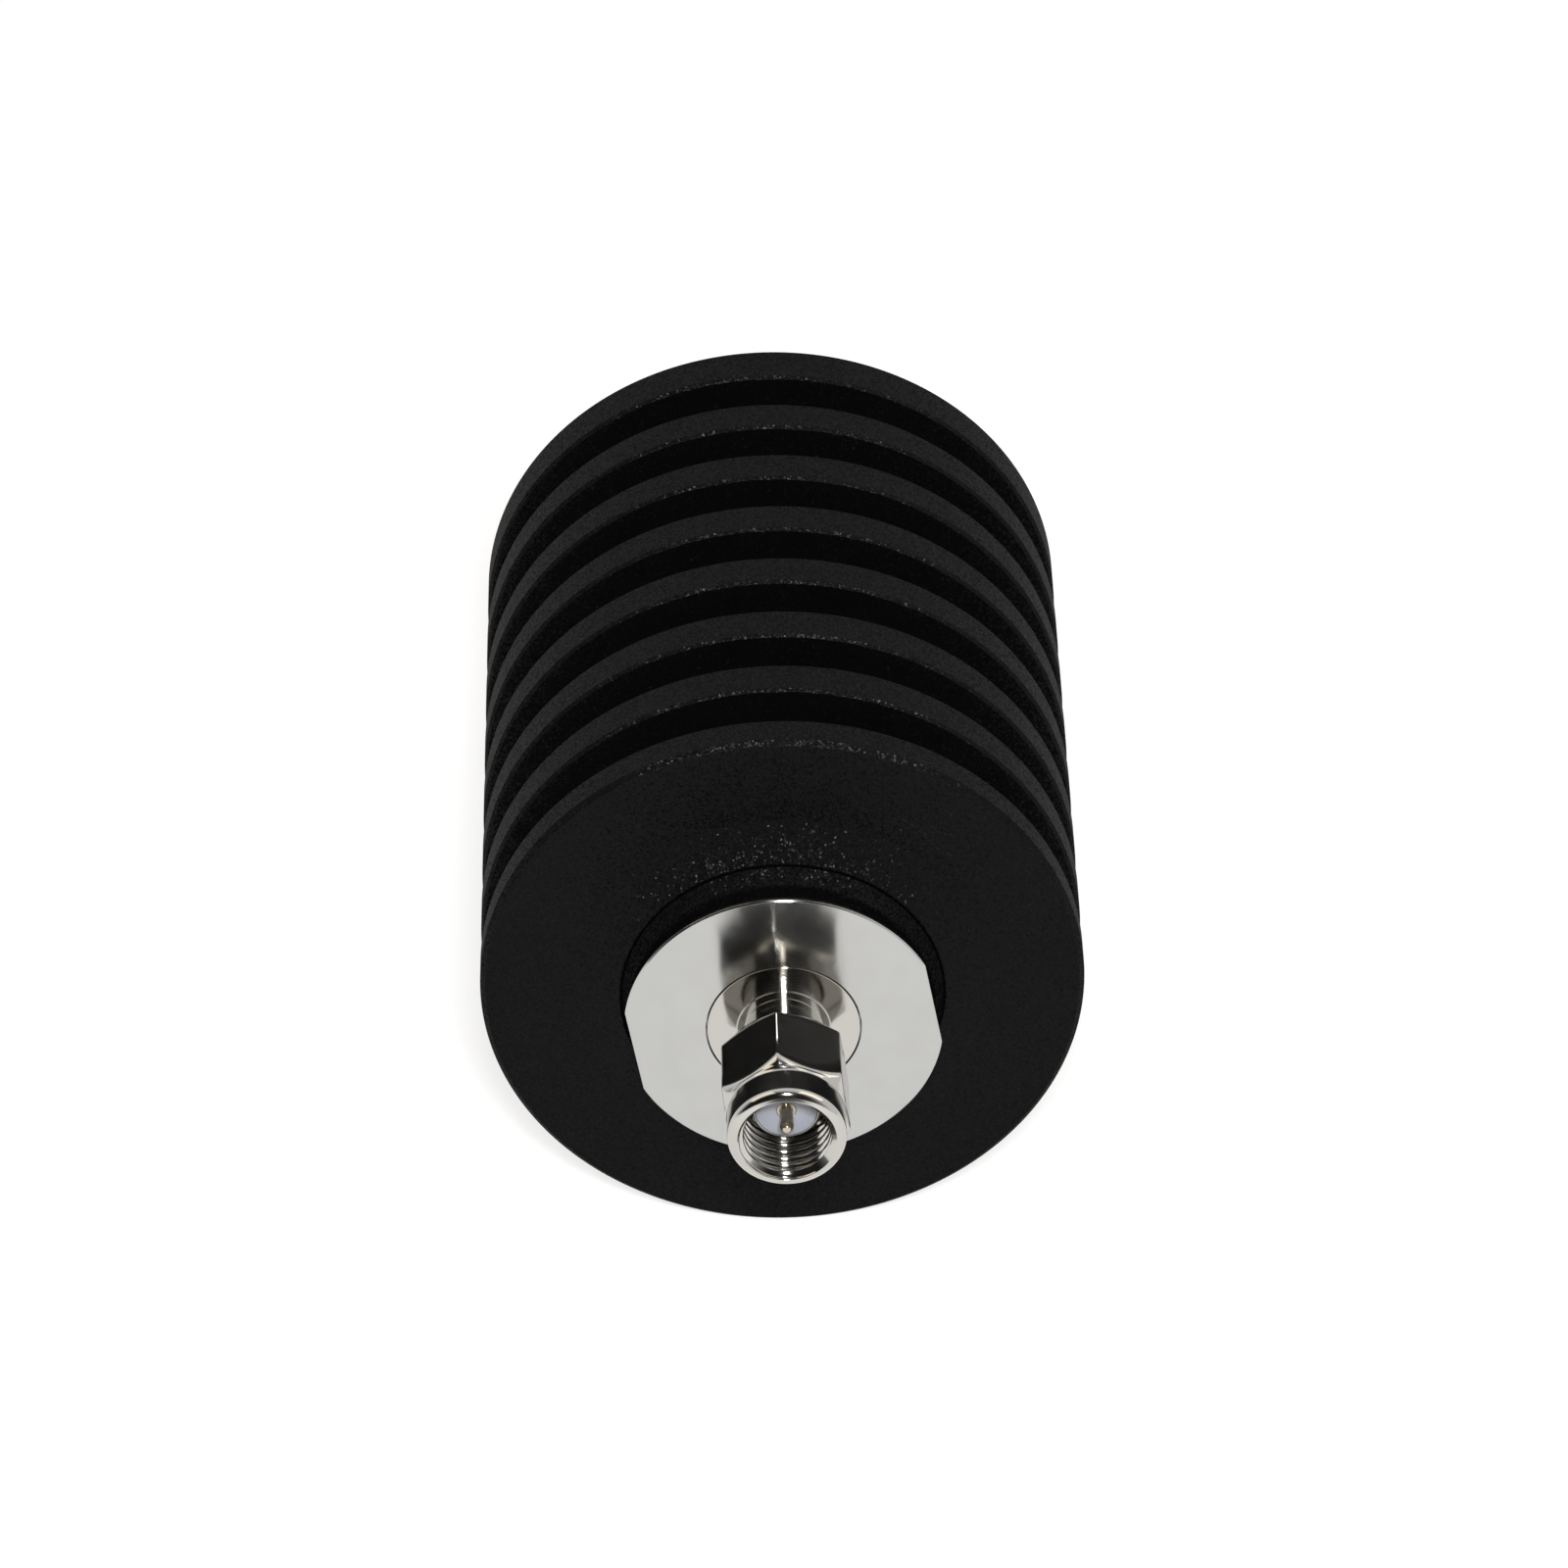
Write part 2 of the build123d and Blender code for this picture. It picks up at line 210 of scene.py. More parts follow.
@dataclass(frozen=True)
class Finish:
    """What all finishes share: a name, a colour, and a material that is built once."""

    name: str
    colour: str

    def material(self) -> Material:
        """The finish's material, built when it is first asked for."""
        found = bpy.data.materials.get(self.name)
        if found:
            return found
        made = bpy.data.materials.new(self.name)
        tree = empty_tree(made)
        shader = add_node(tree, "ShaderNodeBsdfPrincipled", self.inputs(tree))
        add_node(tree, "ShaderNodeOutputMaterial", {"Surface": shader})
        return made

    def inputs(self, tree: NodeTree) -> dict[str, object]:
        """Builds the nodes that feed the finish's shader, and says what each of its inputs takes."""
        raise NotImplementedError

    def varied_colour(self, tree: NodeTree, pattern: Node, spread: float) -> Node:
        """The finish's colour, a little darker and lighter by a pattern.

        Args:
            tree: the material's tree.
            pattern: values from 0 to 1, with 0.5 leaving the colour as it is.
            spread: how much lighter or darker the pattern's ends make it, as a share.

        Returns:
            The node that gives the colour.
        """
        level = add_node(tree, "ShaderNodeMapRange", {0: pattern, 3: 1 - spread, 4: 1 + spread})
        inputs = {0: linear(self.colour)[:3], "Scale": level}
        return add_node(tree, "ShaderNodeVectorMath", inputs, operation="SCALE")


@dataclass(frozen=True)
class BlastedAnodised(Finish):
    """Bead-blasted aluminium with a black dyed anodic film.

    The beads leave shallow dents. They take the mirror out of the metal, so that it looks an even matt
    charcoal, and where a lamp glances off it single dents glint. The film itself is a thin hard oxide that
    reflects a few per cent. Real dents are about 0.06 mm wide, and are drawn at 0.11 mm so that they show.
    """

    dent: float = 0.11
    dent_depth: float = 0.004
    tilt: float = 0.65  # how far the glinting dents lean to all sides, as a share of the normal's length
    roughness: float = 0.6
    glint: float = 0.155
    glint_roughness: float = 0.34
    cloud: float = 2.5
    cloud_spread: float = 0.25

    def inputs(self, tree: NodeTree) -> dict[str, object]:
        """Feeds the shader: fine grit as bump under glinting facets, over a faintly clouded black.

        Each cell of a Voronoi pattern leans its own way. Its normal is the surface's own plus a random
        vector, and the thin clear coat takes it. The ground under the coat doesn't reflect again.
        """
        place = place_in_mm(tree)
        grit = add_node(tree, "ShaderNodeTexNoise", {"Vector": place, "Scale": 1 / self.dent, "Detail": 1.0})
        cloudy = {"Vector": place, "Scale": 1 / self.cloud, "Detail": 3.0}
        clouds = add_node(tree, "ShaderNodeTexNoise", cloudy)
        dents = add_node(tree, "ShaderNodeTexVoronoi", {"Vector": place, "Scale": 1 / self.dent})
        middle, tilt = (0.5, 0.5, 0.5), (self.tilt,) * 3
        lean = worked_out(tree, "ShaderNodeVectorMath", "SUBTRACT", dents.outputs["Color"], middle)
        normal = add_node(tree, "ShaderNodeNewGeometry").outputs["Normal"]
        added = worked_out(tree, "ShaderNodeVectorMath", "MULTIPLY_ADD", lean, tilt, normal)
        return {
            "Base Color": self.varied_colour(tree, clouds, self.cloud_spread),
            "Roughness": self.roughness,
            "Specular IOR Level": 0.0,
            "Normal": add_node(tree, "ShaderNodeBump", {"Height": grit, "Distance": self.dent_depth * MM}),
            "Coat Weight": self.glint,
            "Coat Roughness": self.glint_roughness,
            "Coat Normal": worked_out(tree, "ShaderNodeVectorMath", "NORMALIZE", added),
        }


@dataclass(frozen=True)
class TurnedMetal(Finish):
    """A plated or bare metal that was turned on a lathe.

    The tool leaves rings about 0.05 mm apart. Plating softens them, so the metal is nearly a mirror, but its
    reflections are drawn out across the rings, and faint dull clouds show where it has been handled.
    """

    roughness: float
    stretch: float = 0.7
    ring: float = 0.05
    ring_depth: float = 0.0001
    haze: float = 0.03
    cloud: float = 2.0
    cloud_ends: tuple[float, float] = (0.3, 0.7)
    cloud_spread: float = 0.06

    def inputs(self, tree: NodeTree) -> dict[str, object]:
        """Feeds the shader: rings as bump and as a drawn-out gloss, clouds in the roughness and the colour.

        The rings run round the axis, along (-z, 0, x) at each point, and the gloss is drawn out along the
        cross product of the normal with that.
        """
        place = place_in_mm(tree)
        axes = add_node(tree, "ShaderNodeSeparateXYZ", {0: place}).outputs
        back = worked_out(tree, "ShaderNodeMath", "MULTIPLY", axes["Z"], -1.0)
        round_axis = add_node(tree, "ShaderNodeCombineXYZ", {"X": back, "Z": axes["X"]})
        kinds = {"vector_type": "VECTOR", "convert_from": "OBJECT", "convert_to": "WORLD"}
        turned = add_node(tree, "ShaderNodeVectorTransform", {0: round_axis}, **kinds)
        normal = add_node(tree, "ShaderNodeNewGeometry").outputs["Normal"]
        across = worked_out(tree, "ShaderNodeVectorMath", "CROSS_PRODUCT", normal, turned)
        cloudy = {"Vector": place, "Scale": 1 / self.cloud, "Detail": 4.0}
        clouds = add_node(tree, "ShaderNodeTexNoise", cloudy)
        low, high = self.cloud_ends
        ends = {1: low, 2: high, 3: self.roughness - self.haze / 2, 4: self.roughness + self.haze / 2}
        return {
            "Base Color": self.varied_colour(tree, clouds, self.cloud_spread),
            "Metallic": 1.0,
            "Roughness": add_node(tree, "ShaderNodeMapRange", {0: clouds} | ends),
            "Anisotropic": self.stretch,
            "Tangent": worked_out(tree, "ShaderNodeVectorMath", "NORMALIZE", across),
            "Normal": tool_rings(tree, self.ring, self.ring_depth)[1],
        }


@dataclass(frozen=True)
class SoftPolymer(Finish):
    """A polymer that is turned or moulded: PTFE, milky and waxy, or silicone rubber, dull.

    Light enters PTFE a little before it comes back, so its edges look soft.
    """

    roughness: float
    depth: float = 0.0  # how far light scatters inside, in millimetres
    depth_shares: tuple[float, float, float] = (1.0, 0.9, 0.75)  # of it, for red, green and blue light
    ring: float = 0.08
    ring_depth: float = 0.001
    ring_spread: float = 0.04

    def inputs(self, tree: NodeTree) -> dict[str, object]:
        """Feeds the shader: soft tool rings over a scattering body."""
        rings, normals = tool_rings(tree, self.ring, self.ring_depth)
        return {
            "Base Color": self.varied_colour(tree, rings, self.ring_spread),
            "Roughness": self.roughness,
            "Normal": normals,
            "Subsurface Weight": 1.0 if self.depth else 0.0,
            "Subsurface Scale": self.depth * MM,
            "Subsurface Radius": self.depth_shares,
        }


@dataclass(frozen=True)
class FilmedCeramic(Finish):
    """White alumina that carries a printed resistor film, which is a matt brown-black."""

    film: str
    half_width: float  # of the film, across the chip
    half_length: float
    middle: float  # place of the chip's middle
    grain: float = 0.15
    grain_depth: float = 0.002
    roughness: float = 0.55

    def inputs(self, tree: NodeTree) -> dict[str, object]:
        """Feeds the shader: the film's rectangle on a finely grained ceramic."""
        place = place_in_mm(tree)
        grain = add_node(tree, "ShaderNodeTexNoise", {"Vector": place, "Scale": 1 / self.grain})
        bump = add_node(tree, "ShaderNodeBump", {"Height": grain, "Distance": self.grain_depth * MM})
        axes = add_node(tree, "ShaderNodeSeparateXYZ", {0: place}).outputs
        in_width = worked_out(tree, "ShaderNodeMath", "COMPARE", axes["X"], 0.0, self.half_width)
        in_length = worked_out(tree, "ShaderNodeMath", "COMPARE", axes["Y"], self.middle, self.half_length)
        inside = worked_out(tree, "ShaderNodeMath", "MULTIPLY", in_width, in_length)
        colours = {0: inside, 6: linear(self.colour), 7: linear(self.film)}
        mixed = add_node(tree, "ShaderNodeMix", colours, data_type="RGBA").outputs[2]
        return {"Base Color": mixed, "Roughness": self.roughness, "Normal": bump}


BLACK_BLASTED = BlastedAnodised("black_blasted_anodising", "#060607")
BRIGHT_NICKEL = TurnedMetal("bright_nickel_on_brass", "#bdbbb6", roughness=0.09)
DISC_NICKEL = TurnedMetal("faced_nickel_on_brass", "#b8b8b6", roughness=0.12, stretch=0.85)
CONTACT_METAL = TurnedMetal("tarnished_gold_on_copper", "#bcb1a0", roughness=0.22)
SPRING_BRONZE = TurnedMetal("phosphor_bronze", "#b98a55", roughness=0.3)
MILLED_ALUMINIUM = TurnedMetal("milled_aluminium", "#d4d5d6", roughness=0.3, ring=0.2, ring_depth=0.001)
SCREW_STEEL = TurnedMetal("dull_steel", "#8d8d8f", roughness=0.35)
# The PTFE's grey colour is painted shade: the real PTFE is near white, and its colour is darkened here to
# stand in for the shade it lies in, deep in the bores, under the strong key lamp.
PTFE_WITH_PAINTED_SHADE = SoftPolymer("turned_ptfe_with_painted_shade", "#a1a4ad", roughness=0.42, depth=0.9)
RED_SILICONE = SoftPolymer("silicone_rubber", "#8c2a1e", roughness=0.6)


def span(node: str) -> tuple[float, float]:
    """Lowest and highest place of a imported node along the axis, in millimetres."""
    low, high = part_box(node)
    return low.y / MM, high.y / MM


def outline(edge: float, *corners: Corner) -> Array:
    """Rounds the corners of a closed outline of radius and place.

    A rounded corner is an arc that touches both of its edges. Its ends lie rounding / tan(half the corner's
    angle) from the corner, or less where the next corner is too near, and its points are its centre plus both
    end spokes, weighted by the sines of the angle left and the angle gone. One more point lies on each edge a
    quarter further out, so that smooth shading keeps the faces flat.

    Args:
        edge: the rounding of each corner that doesn't give its own.
        corners: radius, place and perhaps rounding of each corner, in order.

    Returns:
        The outline as rows of radius and place, without repeated rows.
    """
    rows = np.array([corner if len(corner) == 3 else (*corner, edge) for corner in corners])
    corner, rounding = rows[:, :2], rows[:, 2:]
    back = np.roll(corner, 1, axis=0) - corner
    ahead = np.roll(corner, -1, axis=0) - corner
    back_length = np.linalg.norm(back, axis=1, keepdims=True)
    ahead_length = np.linalg.norm(ahead, axis=1, keepdims=True)
    back, ahead = back / back_length, ahead / ahead_length
    half_angle = np.arccos(np.clip((back * ahead).sum(1, keepdims=True), -1, 1)) / 2
    wanted = rounding / np.tan(half_angle)
    taken = EDGE_ROOM * (wanted + np.roll(wanted, -1, axis=0))
    share_ahead = np.minimum(1, ahead_length / np.maximum(taken, TINY))
    reach = wanted * np.minimum(share_ahead, np.roll(share_ahead, 1, axis=0))
    turn = np.maximum(pi - 2 * half_angle, TINY)
    bisector = (back + ahead) / np.maximum(np.linalg.norm(back + ahead, axis=1, keepdims=True), TINY)
    centre = corner + bisector * reach / np.cos(half_angle)
    share = np.linspace(0, 1, EDGE_STEPS)[:, None, None]
    first, last = corner + back * reach - centre, corner + ahead * reach - centre
    arc = centre + (np.sin((1 - share) * turn) * first + np.sin(share * turn) * last) / np.sin(turn)
    before, after = corner + back * FLAT_START * reach, corner + ahead * FLAT_START * reach
    points = np.concatenate([[before], arc, [after]]).transpose(1, 0, 2).reshape(-1, 2)
    step = np.linalg.norm(points - np.roll(points, 1, axis=0), axis=1)
    return points[step > TINY]


def bowed(start: Corner, end: Corner, bow: tuple[float, float], steps: int = 8) -> list[Corner]:
    """A bowed edge: the straight line between two corners plus 4 s (1 - s) times the bow, with s along it.

    Args:
        start: radius, place and perhaps rounding of the first corner.
        end: the same for the last one.
        bow: how far the edge's middle is moved out along the radius, and along the axis.
        steps: how many straight steps the edge is drawn with.

    Returns:
        The corners from start to end. Those in between aren't rounded.
    """
    share = np.arange(1, steps)[:, None] / steps
    straight = np.array(start[:2]) * (1 - share) + np.array(end[:2]) * share
    between = straight + 4 * share * (1 - share) * np.array(bow)
    return [start, *((radius, place, 0.0) for radius, place in between.tolist()), end]


def densified(points: Array, longest: float, chosen: Choice) -> Array:
    """Cuts the chosen edges of a closed outline into equal steps no longer than a given length.

    Args:
        points: rows of radius and place.
        longest: the longest step, in millimetres.
        chosen: tells which edges are cut.

    Returns:
        The outline with the extra rows.
    """
    ahead = np.roll(points, -1, axis=0)
    length = np.linalg.norm(ahead - points, axis=1)
    cut = chosen(np.minimum(points, ahead), np.maximum(points, ahead))
    steps = np.where(cut, np.ceil(length / longest), 1).astype(int)
    edge = np.repeat(np.arange(len(points)), steps)
    number = np.arange(len(edge)) - np.repeat(np.cumsum(steps) - steps, steps)
    share = (number / steps[edge])[:, None]
    return points[edge] * (1 - share) + ahead[edge] * share


def lesser(first: Array, second: Array, blend: float) -> Array:
    """The lesser of two radii, softly: half of (their sum less the root of difference^2 + blend^2)."""
    return (first + second - np.sqrt((first - second) ** 2 + blend**2)) / 2


def cut_back(radius: Array, limit: Array) -> Array:
    """Cuts a radius back to a limit.

    A fiftieth of what stood over the limit is kept, so that points on an end face stay apart.
    """
    return np.where(radius > limit, limit + (radius - limit) * KEPT_SHARE, radius)


def even_angles(count: int) -> Array:
    """Angles spaced evenly all round."""
    return np.arange(count) * 2 * pi / count


def crowded_angles(first: float, corners: int, count: int) -> Array:
    """Angles all round that crowd towards evenly spaced corners.

    Beside a corner the angle is s * |s| times half of a side's angle, with s in even steps from -1 to 1.

    Args:
        first: the angle of one corner, in radians.
        corners: how many corners there are.
        count: how many angles go to each corner.

    Returns:
        The angles in radians, in order.
    """
    share = np.linspace(-1, 1, count, endpoint=False)
    middles = first + 2 * pi / corners * np.arange(corners)
    return (middles[:, None] + pi / corners * share * np.abs(share)).ravel()


def turned_piece(name: str, points: Array, angles: Array, shape: Shape | None = None) -> Object:
    """Carries an outline round the Y axis and closes it into a solid.

    The grid point of an outline's row and angle t is (r cos t, y, r sin t). Here y is the row's place, and r
    is its radius, after `shape` where there is one. An outline that starts and ends on the axis gets a pole
    at each end.

    Args:
        name: the piece's name.
        points: rows of radius and place, a closed outline.
        angles: the grid's angles, in order round the axis.
        shape: gives the radius at each grid point from its plain radius, place and angle.

    Returns:
        The piece, smooth-shaded, with its faces outwards.
    """
    following = np.roll(points, -1, axis=0)
    if (points[:, 1] * following[:, 0] - following[:, 1] * points[:, 0]).sum() > 0:
        points = points[::-1]
    has_poles = points[0, 0] < TINY
    rings = points[1:-1] if has_poles else points
    radius, angle = np.broadcast_arrays(rings[:, :1], angles[None, :])
    place = np.broadcast_to(rings[:, 1:], radius.shape)
    if shape:
        radius = shape(radius, place, angle)
    grid = np.stack([radius * np.cos(angle), place, radius * np.sin(angle)], axis=-1)
    corners = grid.reshape(-1, 3)
    index = np.arange(len(corners)).reshape(radius.shape)
    beside = np.roll(index, -1, axis=1)
    sides = np.stack([index, np.roll(index, -1, axis=0), np.roll(beside, -1, axis=0), beside], axis=-1)
    faces = [sides[:-1 if has_poles else None].reshape(-1, 4)]
    if has_poles:
        pole = np.full(len(angles), len(corners))
        faces.append(np.stack([pole, index[0], beside[0]], axis=-1))
        faces.append(np.stack([pole + 1, beside[-1], index[-1]], axis=-1))
        ends = np.stack([np.zeros(2), points[[0, -1], 1], np.zeros(2)], axis=-1)
        corners = np.concatenate([corners, ends])
    return put_mesh(name, corners, faces)


def put_mesh(name: str, corners: Array, faces: list[Array]) -> Object:
    """Puts whole arrays into a smooth-shaded mesh whose object sits at the origin.

    Args:
        name: the piece's name.
        corners: rows of x, y and z in millimetres.
        faces: blocks of faces, each a row of corner numbers.

    Returns:
        The new object, linked to the scene.
    """
    sizes = np.concatenate([np.full(len(block), block.shape[1]) for block in faces])
    loops = np.concatenate([block.ravel() for block in faces])
    mesh = bpy.data.meshes.new(name)
    mesh.vertices.add(len(corners))
    mesh.loops.add(len(loops))
    mesh.polygons.add(len(sizes))
    mesh.vertices.foreach_set("co", (corners * MM).astype(np.float32).ravel())
    mesh.loops.foreach_set("vertex_index", loops.astype(np.int32))
    mesh.polygons.foreach_set("loop_start", (np.cumsum(sizes) - sizes).astype(np.int32))
    mesh.polygons.foreach_set("use_smooth", np.ones(len(sizes), bool))
    mesh.update(calc_edges=True)
    mesh.validate()
    piece = bpy.data.objects.new(name, mesh)
    bpy.context.scene.collection.objects.link(piece)
    return piece


def fit(piece: Object, node: str, finish: Finish, body: Body = Body.HOUSING) -> None:
    """Dresses a piece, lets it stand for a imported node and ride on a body, and reports it.

    Args:
        piece: the new piece.
        node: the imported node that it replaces.
        finish: what its surface is.
        body: the body that it moves with.
    """
    piece.data.materials.append(finish.material())
    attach(piece, body.value)
    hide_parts(node)
    log.info("%s stands for %s: %d faces, %s", piece.name, node, len(piece.data.polygons), finish.name)


def dress(node: str, finish: Finish) -> None:
    """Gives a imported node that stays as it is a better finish, and reports it.

    Args:
        node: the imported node.
        finish: what its surface is.
    """
    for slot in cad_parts[node].material_slots:
        slot.material = finish.material()
    log.info("%s keeps its shape: %s", node, finish.name)


@dataclass(frozen=True)
class FineThread:
    """The right-hand 60 degree thread of the plug and the jack, 36 to the inch."""

    pitch: float = 25.4 / 36
    depth: float = 0.36
    root_width: float = 0.1
    step: float = 0.05  # along the axis, that it is drawn with

    def groove(self, place: Array, angle: Array) -> Array:
        """Depth of the thread's groove, in millimetres.

        The groove's middle climbs one pitch for each turn. Across it the depth falls from full, over the
        root's width, along flanks that lean 30 degrees, to none at the crest.

        Args:
            place: places along the axis.
            angle: angles round it.

        Returns:
            The depth at each of them.
        """
        turns = place / self.pitch + angle / (2 * pi)
        from_middle = np.abs(turns % 1 - 0.5) * self.pitch
        flank = self.depth * np.tan(pi / 6)
        share = np.clip((self.root_width / 2 + flank - from_middle) / flank, 0, 1)
        return self.depth * share


@dataclass
class HeatSink:
    """The finned heat sink, one turned piece: two end plates, six disc fins and a low boss at each end."""

    sink_radius: float = 19.99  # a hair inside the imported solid's facets
    hub_radius: float = 13.4
    front_plate: float = 2.5
    fin_count: int = 6
    fin_thickness: float = 2.88
    fin_gap: float = 3.33
    plate_chamfer: float = 0.35
    fin_chamfer: float = 0.2
    root_rounding: float = 0.35
    edge: float = 0.06
    bore_radius: float = 10.64
    seam_chamfer: float = 0.12
    boss_radius: float = 13.8
    boss_height: float = 0.95
    boss_land: float = 0.1
    boss_hollow: float = 0.11
    base_rounding: float = 0.25
    columns: int = 248

    def boss_side(self, base: float, tip: float) -> list[Corner]:
        """The boss's side from its tip to its base, sunk in the middle."""
        tip_radius = self.bore_radius + self.seam_chamfer + self.boss_land
        hollow = self.boss_hollow if base > tip else -self.boss_hollow
        return bowed((tip_radius, tip), (self.boss_radius, base, self.base_rounding), (0, hollow))

    def groove(self, start: float) -> list[Corner]:
        """The six corners of the groove that starts at a place, with the chamfers of both rims."""
        end = start + self.fin_gap
        return [
            (self.sink_radius, start - self.fin_chamfer),
            (self.sink_radius - self.fin_chamfer, start),
            (self.hub_radius, start, self.root_rounding),
            (self.hub_radius, end, self.root_rounding),
            (self.sink_radius - self.fin_chamfer, end),
            (self.sink_radius, end + self.fin_chamfer),
        ]

    def build(self) -> None:
        """Builds the heat sink as one turned piece."""
        boss_front, boss_rear = span("heat_sink")
        front, rear = boss_front + self.boss_height, boss_rear - self.boss_height
        pitch = self.fin_thickness + self.fin_gap
        starts = [front + self.front_plate + number * pitch for number in range(self.fin_count + 1)]
        face_radius = self.sink_radius - self.plate_chamfer
        corners = [
            (self.bore_radius, boss_front + self.seam_chamfer),
            (self.bore_radius + self.seam_chamfer, boss_front),
            *self.boss_side(front, boss_front),
            (face_radius, front),
            (self.sink_radius, front + self.plate_chamfer),
            *(corner for start in starts for corner in self.groove(start)),
            (self.sink_radius, rear - self.plate_chamfer),
            (face_radius, rear),
            *self.boss_side(rear, boss_rear)[::-1],
            (self.bore_radius + self.seam_chamfer, boss_rear),
            (self.bore_radius, boss_rear - self.seam_chamfer),
        ]
        piece = turned_piece("finned_sink", outline(self.edge, *corners), even_angles(self.columns))
        fit(piece, "heat_sink", BLACK_BLASTED)


@dataclass
class BodyTube:
    """The black tube through the heat sink, whose ends show as low collars."""

    radius: float = 10.62
    bore_radius: float = 9.2
    collar_radius: float = 9.97
    cone_length: float = 1.2  # over which the collar widens to the tube, at the seam
    cone_rounding: float = 1.0
    collar_length: float = 3.15
    edge: float = 0.06
    columns: int = 256

    def build(self) -> None:
        """Builds the tube."""
        front, rear = span("body_tube")
        front_seam, rear_seam = front + self.collar_length, rear - self.collar_length
        corners = [
            (self.bore_radius, front),
            (self.collar_radius, front),
            (self.collar_radius, front_seam - self.cone_length, self.cone_rounding),
            (self.radius, front_seam),
            (self.radius, rear_seam),
            (self.collar_radius, rear_seam + self.cone_length, self.cone_rounding),
            (self.collar_radius, rear),
            (self.bore_radius, rear),
        ]
        piece = turned_piece("black_tube", outline(self.edge, *corners), even_angles(self.columns))
        fit(piece, "body_tube", BLACK_BLASTED)


@dataclass
class EndCap:
    """A nickel-plated cap: a thin disc with two wrench flats, on a spigot that screws into the tube."""

    name: str
    node: str
    end: End
    radius: float = 10.5
    flat_depth: float = 0.5
    flat_angle: float = 10.5  # degrees from X to the middle of a flat
    flat_reach: float = 0.5  # cosine of the angle from there up to which a flat counts
    flat_blend: float = 0.01
    rim_thickness: float = 0.35
    chamfer: float = 0.1
    spigot_radius: float = 9.18
    seat_radius: float = 5.12
    seat_depth: float = 1.4
    bore_radius: float = 3.47
    edge: float = 0.03
    columns: int = 512

    def build(self) -> None:
        """Builds the cap."""
        low, high = span(self.node)
        face, inner = (low, high) if self.end is End.PLUG else (high, low)
        inward = self.end.value

        def flattened(radius: Array, place: Array, angle: Array) -> Array:
            """Draws the disc in between its spigot and its flats, in proportion to the radius there.

            The rim's radius is the lesser of the disc's and the flat's, which is its distance over the cosine
            of the angle from its middle, and both are smaller by what the chamfer takes off.
            """
            depth = (place - face) * inward
            rim = self.radius - np.maximum(self.chamfer - depth, 0)
            from_flat = angle - inward * radians(self.flat_angle)
            flat = (rim - self.flat_depth) / np.maximum(np.abs(np.cos(from_flat)), self.flat_reach)
            cut = lesser(rim, flat, self.flat_blend)
            share = (cut - self.spigot_radius) / (rim - self.spigot_radius)
            drawn_in = self.spigot_radius + (radius - self.spigot_radius) * share
            return np.where(radius > self.spigot_radius, drawn_in, radius)

        rim_back, seat = face + inward * self.rim_thickness, face + inward * self.seat_depth
        corners = [
            (self.seat_radius, face),
            (self.radius - self.chamfer, face),
            (self.radius, face + inward * self.chamfer),
            (self.radius, rim_back),
            (self.spigot_radius, rim_back),
            (self.spigot_radius, inner),
            (self.bore_radius, inner),
            (self.bore_radius, seat),
            (self.seat_radius, seat),
        ]
        piece = turned_piece(self.name, outline(self.edge, *corners), even_angles(self.columns), flattened)
        fit(piece, self.node, DISC_NICKEL)


@dataclass
class Connector:
    """What the plug and the jack share: their flange and stub, and the PTFE bead in them."""

    flange_radius: float = 5.02
    flange_thickness: float = 1.4
    stub_radius: float = 3.45
    centre_radius: float = 0.635  # of the pin or the socket
    dielectric_radius: float = 2.03
    bead_radius: float = 2.6  # of the dielectric's wider inner part
    bead_setback: float = 0.4  # of that part, behind the flange's face
    seat: float = 0.02
    edge: float = 0.04
    root_rounding: float = 0.02
    columns: int = 192

    def build_bead(self, name: str, node: str, mouth: float, step: float, inner: float) -> None:
        """Builds the PTFE between the shell and the centre contact.

        Args:
            name: the piece's name.
            node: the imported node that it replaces.
            mouth: place of its outer end.
            step: place where it widens.
            inner: place of its inner end.
        """
        bore = self.centre_radius + self.seat
        narrow, wide = self.dielectric_radius - self.seat, self.bead_radius - self.seat
        corners = [(bore, mouth), (narrow, mouth), (narrow, step), (wide, step), (wide, inner), (bore, inner)]
        piece = turned_piece(name, outline(self.edge, *corners), even_angles(self.columns))
        # the bead's grey colour is painted shade; real PTFE is near white
        fit(piece, node, PTFE_WITH_PAINTED_SHADE)


